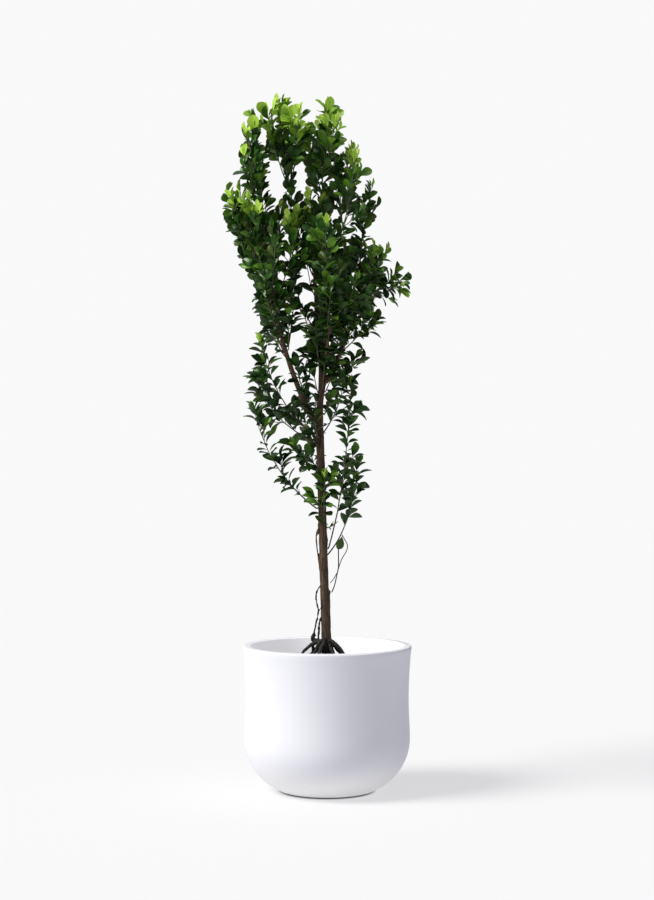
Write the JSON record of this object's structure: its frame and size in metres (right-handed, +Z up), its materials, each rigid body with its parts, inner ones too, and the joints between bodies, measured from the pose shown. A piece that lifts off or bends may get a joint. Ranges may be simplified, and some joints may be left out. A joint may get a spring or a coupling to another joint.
{
  "type": "potted standard shrub",
  "caption": "Slender evergreen shrub on a bare woody stem, with loose upright leafy shoots, rooted in a round white pot with a rounded foot.",
  "frame": {"origin": "centre of the pot's flat underside, on the surface that the pot stands on", "axes": "+Z up along the trunk, -Y towards the front view, +X to the right of that view"},
  "size_m": [0.4357, 0.3808, 1.5606],
  "materials": {
    "pot": "matte",
    "soil": "rough",
    "bark": "rough",
    "foliage": "satin"
  },
  "bodies": {
    "root": {"back_bough": "bark", "back_low": "foliage", "back_mid": "foliage", "back_right": "foliage", "centre_back": "foliage", "centre_front": "foliage", "centre_low_front": "foliage", "centre_skirt": "foliage", "front_bough": "bark", "left_back": "foliage", "left_back_low": "foliage", "left_bough": "bark", "left_far_back": "foliage", "left_flank": "foliage", "left_front": "foliage", "left_inner": "foliage", "left_low_flank": "foliage", "left_mid": "foliage", "left_spike": "foliage", "low_left": "foliage", "low_left_front": "foliage", "low_left_inner": "foliage", "low_left_out": "foliage", "low_right_long": "foliage", "low_right_out": "foliage", "lowest_left": "foliage", "pot": "pot", "right_back": "foliage", "right_bough": "bark", "right_far": "foliage", "right_front": "foliage", "right_inner": "foliage", "right_low": "foliage", "right_low_back": "foliage", "right_side": "foliage", "right_skirt": "foliage", "right_spike": "foliage", "right_upper_out": "foliage", "soil": "soil", "top_left": "foliage", "top_right": "foliage", "trunk": "bark", "trunk_front": "foliage", "upper_right": "foliage"}
  },
  "joints": []
}
